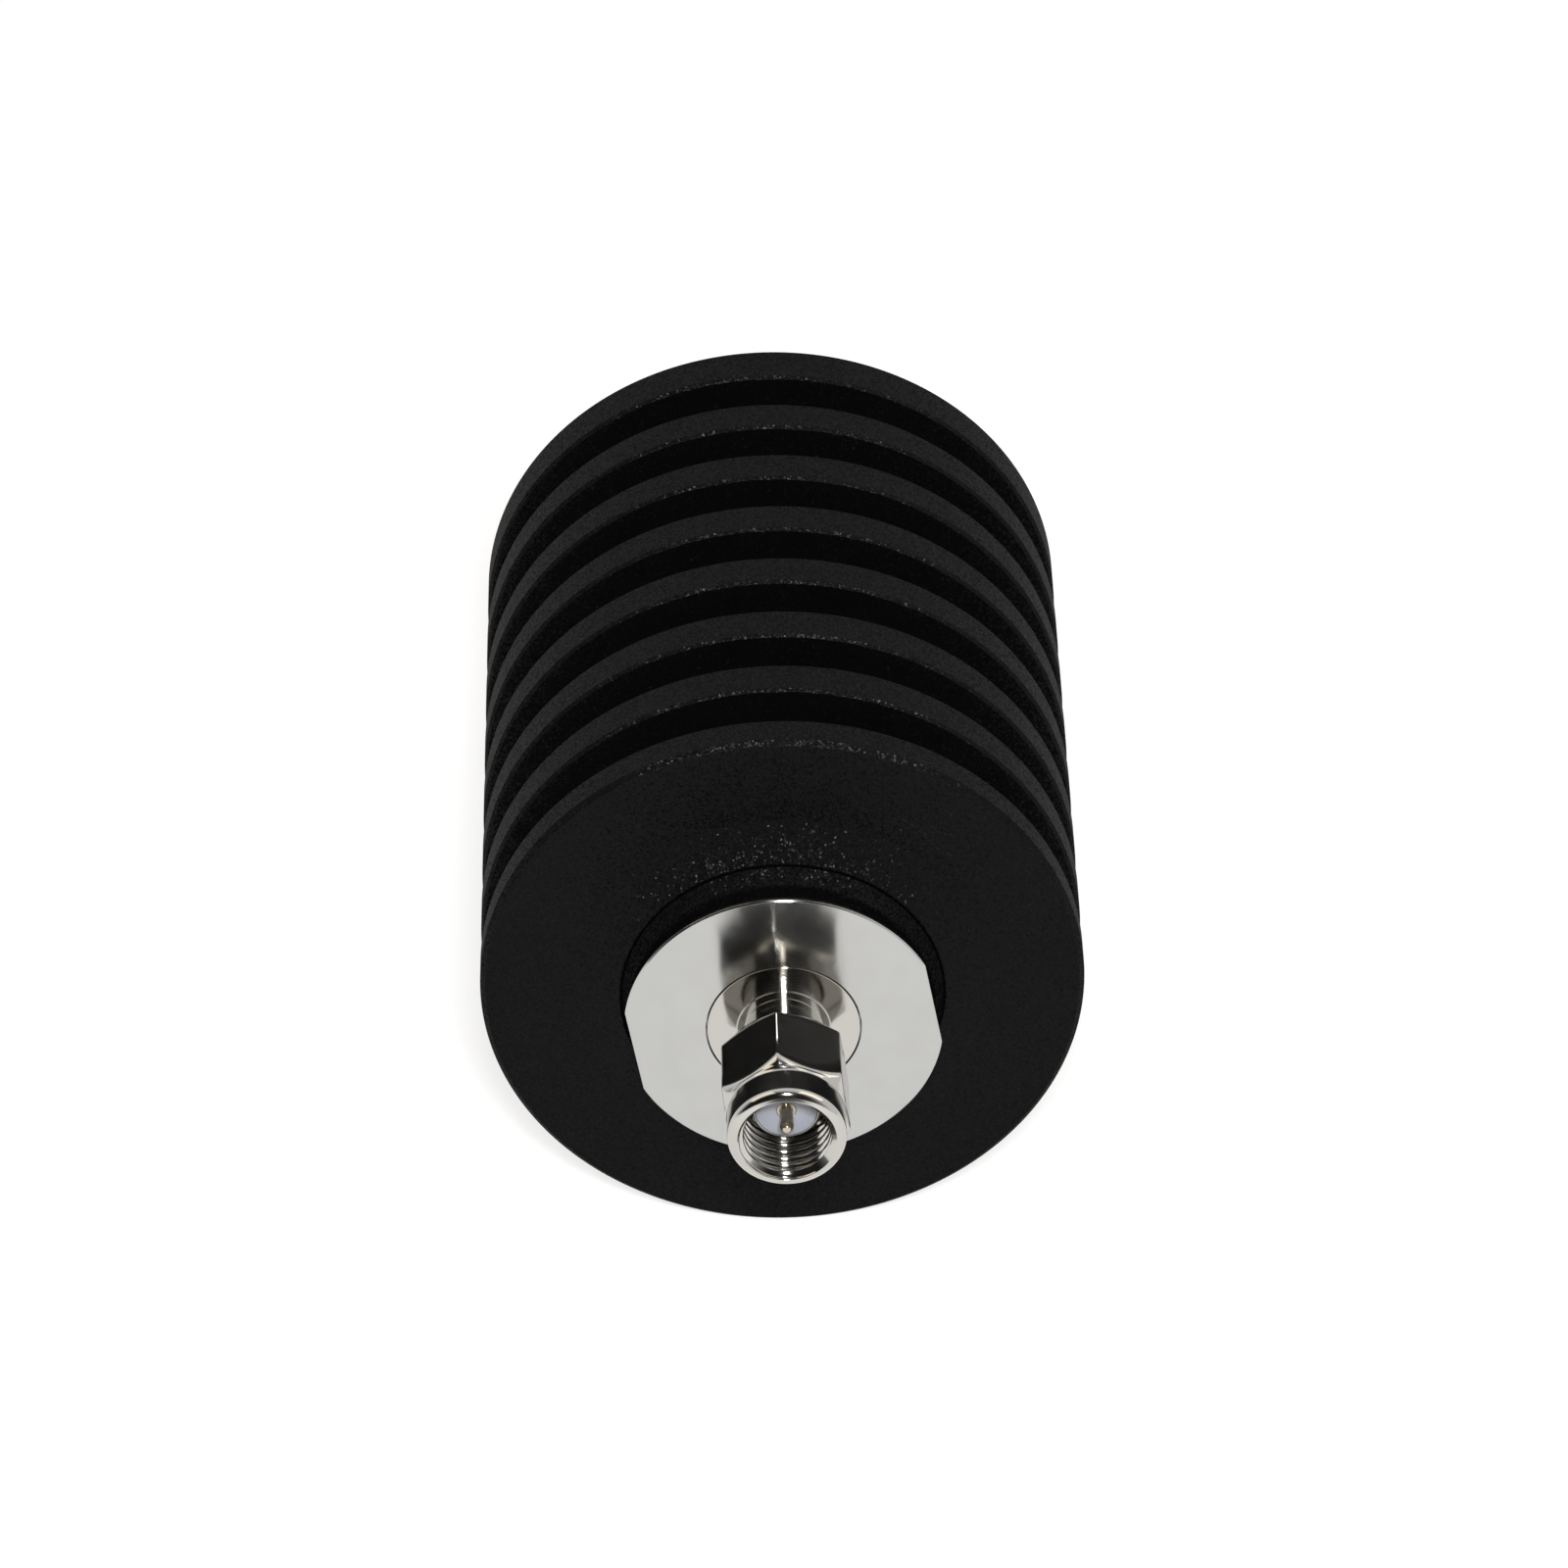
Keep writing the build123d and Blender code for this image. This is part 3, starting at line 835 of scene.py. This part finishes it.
@dataclass
class Plug(Connector):
    """The plug: its shell, the PTFE in it and its centre pin."""

    contact_radius: float = 2.28
    contact_chamfer: float = 0.1
    lip_rounding: float = 0.07
    contact_length: float = 2.6
    neck_radius: float = 2.55
    groove_start: float = 0.38  # of the retaining ring's groove, behind the shoulder
    groove_end: float = 0.92
    groove_radius: float = 2.3
    flange_face: float = 8.7
    step_height: float = 0.12
    step_radius: float = 3.1
    step_rounding: float = 0.05
    tip_radius: float = 0.45
    tip_rounding: float = 0.15
    taper_length: float = 0.4
    taper_depth: float = 0.18
    taper_rounding: float = 0.5
    solder_flat: float = 0.35  # distance from the axis to the flat under the pin's inner end
    solder_length: float = 1.6
    solder_reach: float = 0.1  # sine of the angle from level up to which the flat counts
    pin_columns: int = 96

    def build(self) -> None:
        """Builds the plug's three pieces."""
        self.build_shell()
        mouth, inner = span("plug_insulator")
        self.build_bead("plug_bead", "plug_insulator", mouth, self.flange_face + self.bead_setback, inner)
        self.build_pin()

    def build_shell(self) -> None:
        """Outer contact, neck, flange and stub in one turned piece."""
        front, rear = span("plug_body")
        shoulder, flange = front + self.contact_length, self.flange_face
        corners = [
            (self.dielectric_radius, front, self.lip_rounding),
            (self.contact_radius - self.contact_chamfer, front),
            (self.contact_radius, front + self.contact_chamfer),
            (self.contact_radius, shoulder),
            (self.neck_radius, shoulder),
            (self.neck_radius, shoulder + self.groove_start),
            (self.groove_radius, shoulder + self.groove_start),
            (self.groove_radius, shoulder + self.groove_end),
            (self.neck_radius, shoulder + self.groove_end),
            (self.neck_radius, flange - self.step_height),
            (self.step_radius, flange - self.step_height, self.step_rounding),
            (self.step_radius, flange, self.root_rounding),
            (self.flange_radius, flange),
            (self.flange_radius, flange + self.flange_thickness),
            (self.stub_radius, flange + self.flange_thickness),
            (self.stub_radius, rear),
            (self.bead_radius, rear),
            (self.bead_radius, flange + self.bead_setback),
            (self.dielectric_radius, flange + self.bead_setback),
        ]
        piece = turned_piece("plug_shell", outline(self.edge, *corners), even_angles(self.columns))
        fit(piece, "plug_body", BRIGHT_NICKEL)

    def build_pin(self) -> None:
        """The centre pin, with a rounded taper at its tip and a soldering flat under its inner end."""
        tip, rear = span("plug_pin")
        flat_start = rear - self.solder_length
        plane = span("plug_body")[0]
        corners = [
            (0, tip, 0),
            (self.tip_radius - self.taper_depth, tip, self.tip_rounding),
            (self.tip_radius, tip + self.taper_length, self.taper_rounding),
            (self.tip_radius, plane, self.root_rounding),
            (self.centre_radius, plane),
            (self.centre_radius, rear),
            (0, rear, 0),
        ]

        def flattened(radius: Array, place: Array, angle: Array) -> Array:
            """Keeps the pin's inner end above its flat: its distance over the sine of the angle down."""
            flat = self.solder_flat / np.maximum(-np.sin(angle), self.solder_reach)
            return np.where(place > flat_start, cut_back(radius, flat), radius)

        points = outline(self.edge, *corners)
        piece = turned_piece("plug_centre_pin", points, even_angles(self.pin_columns), flattened)
        fit(piece, "plug_pin", CONTACT_METAL)


@dataclass
class CouplingNut:
    """The coupling nut: a hexagon with a round nose and a fine inner thread."""

    flat_radius: float = 3.97
    corner_angle: float = 97.6  # of the uppermost corner, from +X towards +Z
    corner_rounding: float = 0.25
    cone_spare: float = 0.3  # the cones that break the corners run on this far past them
    cone_bow: float = 0.045  # how far the front cone bulges, out and forwards
    cone_root: float = 0.3  # rounding between nose and cone
    back_cut: float = 0.4
    nose_radius: float = 3.87
    nose_length: float = 2.6
    nose_rounding: float = 0.5
    lip_lean: float = 20.0  # degrees that the lip's front falls back outwards
    thread_radius: float = 2.82
    mouth_chamfer: float = 0.42
    mouth_rounding: float = 0.03
    cavity_front: float = 1.6
    cavity_rear: float = 3.58
    cavity_radius: float = 3.255
    hole_radius: float = 2.63
    hole_chamfer: float = 0.15
    edge: float = 0.04
    blend: float = 0.28  # softness of the edges between the flats and the cones
    thread: FineThread = FineThread()
    columns_per_corner: int = 48
    cone_step: float = 0.04

    def hexagon(self, angle: Array) -> Array:
        """Radius of the hexagon with rounded corners.

        On a flat it is the flat's distance over the cosine of the angle from its middle. On a corner it is
        the far side of a small circle: d cos c + the root of (rounding^2 - (d sin c)^2), where c is the angle
        from the corner and d the distance of the circle's centre.

        Args:
            angle: angles round the axis.

        Returns:
            The radius at each of them.
        """
        from_corner = np.abs((angle - radians(self.corner_angle) + pi / 6) % (pi / 3) - pi / 6)
        from_flat = pi / 6 - from_corner
        centre = (self.flat_radius - self.corner_rounding) / cos(pi / 6)
        beside = np.minimum(centre * np.sin(from_corner), self.corner_rounding)
        corner = centre * np.cos(from_corner) + np.sqrt(self.corner_rounding**2 - beside**2)
        tangent = (self.flat_radius - self.corner_rounding) * np.tan(pi / 6)
        on_corner = self.flat_radius * np.tan(from_flat) > tangent
        return np.where(on_corner, corner, self.flat_radius / np.cos(from_flat))

    def shaped(self, radius: Array, place: Array, angle: Array) -> Array:
        """Cuts the flats outside and the thread inside.

        Outside it is the softened lesser of outline and hexagon, and the softness grows from none at the
        nose's radius. Inside it is the greater of that and the groove's radius.
        """
        softness = self.blend * np.clip((radius - self.nose_radius) / self.blend, 0, 1)
        outside = lesser(radius, self.hexagon(angle), softness)
        groove = self.thread_radius + self.thread.groove(place, angle)
        threaded = (radius < self.cavity_radius) & (place < self.cavity_front + CLOSE)
        return np.where(threaded, -cut_back(-outside, -groove), outside)

    def build(self) -> None:
        """Builds the nut."""
        front, back = span("coupling_nut")
        cone_front = front + self.nose_length
        corner_radius = self.flat_radius / cos(pi / 6)
        envelope = corner_radius + self.cone_spare
        slope = self.back_cut / (corner_radius - self.flat_radius)
        mouth_radius = self.thread_radius + self.mouth_chamfer
        lip_back = front + (self.nose_radius - mouth_radius) * tan(radians(self.lip_lean))
        corners = [
            (mouth_radius, front, self.mouth_rounding),
            (self.nose_radius, lip_back, self.nose_rounding),
            *bowed(
                (self.nose_radius, cone_front, self.cone_root),
                (envelope, cone_front + envelope - self.nose_radius, 0.0),
                (self.cone_bow, -self.cone_bow),
            ),
            (envelope, back - (envelope - self.flat_radius) * slope),
            (self.flat_radius, back),
            (self.hole_radius + self.hole_chamfer, back),
            (self.hole_radius, back - self.hole_chamfer),
            (self.hole_radius, self.cavity_rear),
            (self.cavity_radius, self.cavity_rear),
            (self.cavity_radius, self.cavity_front),
            (self.thread_radius, self.cavity_front),
            (self.thread_radius, front + self.mouth_chamfer),
        ]
        points = outline(self.edge, *corners)
        inside = mouth_radius + CLOSE, self.cavity_front + CLOSE
        points = densified(points, self.thread.step, lambda low, high: (high < inside).all(1))
        lowest = self.flat_radius + CLOSE
        points = densified(points, self.cone_step, lambda low, high: ((high > lowest) & (high > low))[:, 0])
        angles = crowded_angles(radians(self.corner_angle), 6, self.columns_per_corner)
        piece = turned_piece("hex_nut", points, angles, self.shaped)
        fit(piece, "coupling_nut", BRIGHT_NICKEL, Body.NUT)
        dress("nut_retaining_ring", SPRING_BRONZE)
        dress("nut_gasket", RED_SILICONE)


@dataclass
class Jack(Connector):
    """The jack behind: a threaded barrel on a flange, the PTFE in it and its socket."""

    major_radius: float = 3.175
    barrel_chamfer: float = 0.3
    relief_radius: float = 2.65
    relief_length: float = 1.2
    relief_rounding: float = 0.1
    barrel_length: float = 9.0
    recess_radius: float = 2.33
    recess_chamfer: float = 0.15
    thread: FineThread = FineThread()

    def build(self) -> None:
        """Builds the jack's two turned pieces and dresses its socket."""
        inner, tip = span("jack_body")
        face = tip - self.barrel_length
        plane = span("jack_insulator")[1]
        thread_start = face + self.relief_length

        def threaded(radius: Array, place: Array, angle: Array) -> Array:
            """Cuts the thread into the barrel: the lesser of the outline and the groove's radius."""
            crest = self.major_radius - self.thread.groove(place, angle)
            barrel = (radius > self.relief_radius - CLOSE) & (place > thread_start - CLOSE)
            return np.where(barrel, cut_back(radius, crest), radius)

        corners = [
            (self.stub_radius, inner),
            (self.stub_radius, face - self.flange_thickness),
            (self.flange_radius, face - self.flange_thickness),
            (self.flange_radius, face),
            (self.relief_radius, face, self.relief_rounding),
            (self.relief_radius, thread_start, self.relief_rounding),
            (self.major_radius, thread_start),
            (self.major_radius, tip - self.barrel_chamfer),
            (self.major_radius - self.barrel_chamfer, tip),
            (self.recess_radius + self.recess_chamfer, tip),
            (self.recess_radius, tip - self.recess_chamfer),
            (self.recess_radius, plane),
            (self.dielectric_radius, plane, self.root_rounding),
            (self.dielectric_radius, face - self.bead_setback),
            (self.bead_radius, face - self.bead_setback),
            (self.bead_radius, inner),
        ]
        points = outline(self.edge, *corners)
        barrel = self.relief_radius - CLOSE, thread_start - CLOSE
        points = densified(points, self.thread.step, lambda low, high: (low > barrel).all(1))
        shell = turned_piece("jack_shell", points, even_angles(self.columns), threaded)
        fit(shell, "jack_body", BRIGHT_NICKEL)
        self.build_bead("jack_bead", "jack_insulator", plane, face - self.bead_setback, inner)
        dress("jack_contact", CONTACT_METAL)


@dataclass
class ChipCore:
    """The split core inside the tube, with the chip, its lid, the tabs and the screws."""

    film_half_width: float = 2.4
    film_half_length: float = 9.0

    def build(self) -> None:
        """Dresses the core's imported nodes, which nothing shows from outside."""
        low, high = span("attenuator_chip")
        ceramic = FilmedCeramic(
            "alumina_with_resistor_film",
            "#e9e7df",
            film="#2b241f",
            half_width=self.film_half_width,
            half_length=self.film_half_length,
            middle=(low + high) / 2,
        )
        finishes = {
            "core_base": MILLED_ALUMINIUM,
            "core_cover": MILLED_ALUMINIUM,
            "core_screws": SCREW_STEEL,
            "attenuator_chip": ceramic,
            "chip_lid": ceramic,
            "input_tab": CONTACT_METAL,
            "output_tab": CONTACT_METAL,
        }
        for node, finish in finishes.items():
            dress(node, finish)


WARM = "#fff0d6"


@dataclass
class Softbox:
    """A square lamp that looks at the object from a direction."""

    name: str
    azimuth: float  # degrees from -Y towards +X
    elevation: float
    distance: float
    size: float
    watts: float
    colour: str = "#ffffff"

    def build(self, target: Vector) -> None:
        """Hangs the lamp so that it looks at a target, in metres."""
        lamp = bpy.data.lights.new(self.name, "AREA")
        lamp.shape = "SQUARE"
        lamp.size = self.size * MM
        lamp.energy = self.watts
        lamp.color = linear(self.colour)[:3]
        holder = bpy.data.objects.new(self.name, lamp)
        turn = Euler((radians(90 - self.elevation), 0, radians(self.azimuth)))
        holder.rotation_euler = turn
        holder.location = target + turn.to_matrix() @ Vector((0, 0, self.distance * MM))
        bpy.context.scene.collection.objects.link(holder)


@dataclass
class Studio:
    """A pale floor, softboxes, a pale surround that is dark only behind the camera, and the camera."""

    floor_half_width: float = 1500.0
    floor_colour: str = "#eeeeec"
    floor_glow: float = 0.76  # what the floor adds for camera and mirror rays, so that it looks white
    floor_shade: float = 0.32  # share of lamp light that those rays see on the floor, with its shadow
    surround: float = 0.3  # level of the surround as a lamp
    mirrored: float = 0.9  # level that mirrors show above the object
    dark_side: float = 0.015
    dark_middle: tuple[float, float, float] = (-0.3, -0.86, 0.41)  # direction of the dark side's middle
    dark_reach: tuple[float, float] = (80.0, 36.0)  # degrees from there where it starts, and is full
    camera_place: tuple[float, float, float] = (-7.4011, -389.9132, 310.9640)
    camera_azimuth: float = 1.0659  # degrees from +Y towards +X
    camera_elevation: float = 36.1354  # degrees that it looks down
    lens: float = 176.757
    sensor: float = 36.0
    sight: tuple[float, float] = (0.01, 20.0)  # nearest and farthest that the camera sees, in metres
    softboxes: tuple[Softbox, ...] = (
        Softbox("key_softbox", azimuth=1.5, elevation=40.2, distance=450, size=48, watts=2.1),
        Softbox("left_softbox", azimuth=-80, elevation=50, distance=600, size=420, watts=0.6, colour=WARM),
        Softbox("right_softbox", azimuth=80, elevation=50, distance=600, size=420, watts=0.6, colour=WARM),
    )

    def build(self) -> None:
        """Builds the floor, the surround, the lamps and the camera."""
        self.build_floor()
        self.build_surround()
        low, high = cad_box
        for softbox in self.softboxes:
            softbox.build((low + high) / 2)
            log.info("%s hangs %g mm away", softbox.name, softbox.distance)
        self.build_camera()

    def build_floor(self) -> None:
        """A flat floor under the heat sink.

        Camera and mirror rays see a white floor that keeps part of its shading, and all other rays see plain
        pale paper.
        """
        half = self.floor_half_width
        level = cad_box[0].z / MM
        square = np.array([(-half, -half), (half, -half), (half, half), (-half, half)])
        corners = np.column_stack([square, np.full(len(square), level)])
        floor = put_mesh("floor", corners, [np.array([[0, 1, 2, 3]])])
        paper = bpy.data.materials.new("white_paper_floor")
        tree = empty_tree(paper)
        plain = add_node(tree, "ShaderNodeBsdfDiffuse", {"Color": linear(self.floor_colour)})
        shade = add_node(tree, "ShaderNodeBsdfDiffuse", {"Color": (self.floor_shade,) * 3 + (1,)})
        glow = add_node(tree, "ShaderNodeEmission", {"Strength": self.floor_glow})
        seen = add_node(tree, "ShaderNodeAddShader", {0: shade, 1: glow})
        direct = any_ray(tree, "Is Camera Ray", "Is Glossy Ray", "Is Transmission Ray")
        surface = add_node(tree, "ShaderNodeMixShader", {0: direct, 1: plain, 2: seen})
        add_node(tree, "ShaderNodeOutputMaterial", {"Surface": surface})
        floor.data.materials.append(paper)
        log.info("the floor lies at %g mm", level)

    def build_surround(self) -> None:
        """White for camera rays and soft grey as light, with a dark studio behind the camera.

        Mirror rays see the dark side where the cosine of their angle from its middle is high, and the plain
        level elsewhere.
        """
        world = bpy.data.worlds.new("studio_surround")
        tree = empty_tree(world)
        direction = add_node(tree, "ShaderNodeTexCoord").outputs["Generated"]
        dot = worked_out(tree, "ShaderNodeVectorMath", "DOT_PRODUCT", direction, self.dark_middle)
        start, full = (cos(radians(angle)) for angle in self.dark_reach)
        ends = {1: start, 2: full, 3: self.mirrored, 4: self.dark_side}
        towards = {0: dot.outputs["Value"]} | ends
        mirrored = add_node(tree, "ShaderNodeMapRange", towards, interpolation_type="SMOOTHSTEP")
        glossy = any_ray(tree, "Is Glossy Ray")
        plain = add_node(tree, "ShaderNodeMapRange", {0: glossy, 3: self.surround, 4: mirrored})
        direct = any_ray(tree, "Is Camera Ray", "Is Transmission Ray")
        strength = add_node(tree, "ShaderNodeMapRange", {0: direct, 3: plain, 4: 1.0})
        background = add_node(tree, "ShaderNodeBackground", {"Strength": strength, "Color": (1, 1, 1, 1)})
        add_node(tree, "ShaderNodeOutputWorld", {"Surface": background})
        bpy.context.scene.world = world

    def build_camera(self) -> None:
        """Sets the camera where the photograph was taken from."""
        lens = bpy.data.cameras.new("camera")
        lens.lens = self.lens
        lens.sensor_width = self.sensor
        lens.clip_start, lens.clip_end = self.sight
        camera = bpy.data.objects.new("camera", lens)
        camera.location = Vector(self.camera_place) * MM
        down, aside = radians(90 - self.camera_elevation), radians(-self.camera_azimuth)
        camera.rotation_euler = (down, 0, aside)
        bpy.context.scene.collection.objects.link(camera)
        bpy.context.scene.camera = camera


def main() -> None:
    """Builds each sub-assembly and the studio in order."""
    logging.basicConfig(level=logging.INFO, format="%(name)s: %(message)s")
    HeatSink().build()
    BodyTube().build()
    EndCap("front_cap_disc", "front_end_cap", End.PLUG).build()
    EndCap("rear_cap_disc", "rear_end_cap", End.JACK).build()
    Plug().build()
    CouplingNut().build()
    Jack().build()
    ChipCore().build()
    Studio().build()
    bpy.context.scene.view_settings.view_transform = "Standard"


if __name__ == "__main__":
    main()
